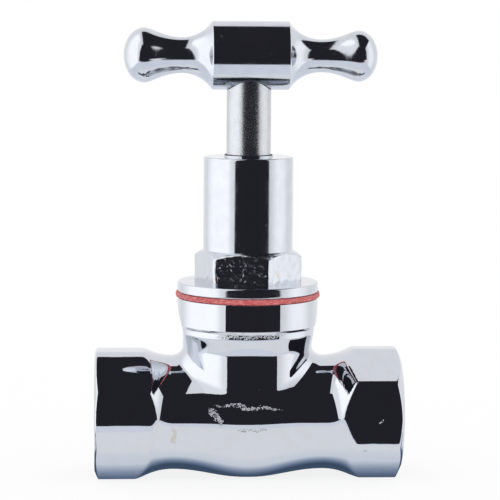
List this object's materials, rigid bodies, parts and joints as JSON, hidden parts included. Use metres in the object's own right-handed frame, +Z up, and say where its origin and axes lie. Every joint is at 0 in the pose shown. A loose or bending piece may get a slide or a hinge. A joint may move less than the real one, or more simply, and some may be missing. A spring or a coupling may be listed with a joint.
{
  "type": "stopcock",
  "caption": "Chrome-plated screw-down stopcock: tee handle on a plain stem, hexagon bonnet on a red fibre washer, and a belly body with octagonal ends threaded for pipe.",
  "frame": {"origin": "on the plane that the valve stands on, under the spindle's axis and midway between the pipe ends", "axes": "+Z up along the spindle, +X along the pipe towards the outlet, -Y towards the front"},
  "size_m": [0.063, 0.0298, 0.0936],
  "materials": {
    "polished_chrome": "polished",
    "satin_chrome": "gloss",
    "red_fibre": "matte",
    "plain_brass": "satin",
    "black_rubber": "matte"
  },
  "bodies": {
    "body": {"valve_body": "polished_chrome", "bonnet": "polished_chrome", "bonnet_washer": "red_fibre", "dust_seal": "black_rubber"},
    "jumper": {"jumper": "plain_brass", "jumper_washer": "black_rubber", "jumper_nut": "plain_brass"},
    "spindle": {"spindle": "satin_chrome", "tee_handle": "polished_chrome", "upper_spindle_o_ring": "black_rubber", "lower_spindle_o_ring": "black_rubber", "jumper_peg": "plain_brass"}
  },
  "joints": [
    {"name": "jumper_lift", "type": "slide", "parent": "body", "child": "jumper", "axis": [0, 0, 1], "range_m": [-0.00501, 0.00001]},
    {"name": "spindle_turn", "type": "hinge", "parent": "jumper", "child": "spindle", "pos_m": [0, 0, 0.0866], "axis": [0, 0, 1], "range_deg": [-900, 0]}
  ],
  "couplings": [
    {"joint": "jumper_lift", "follows": "spindle_turn", "m_per_rad": 0.00031831}
  ]
}
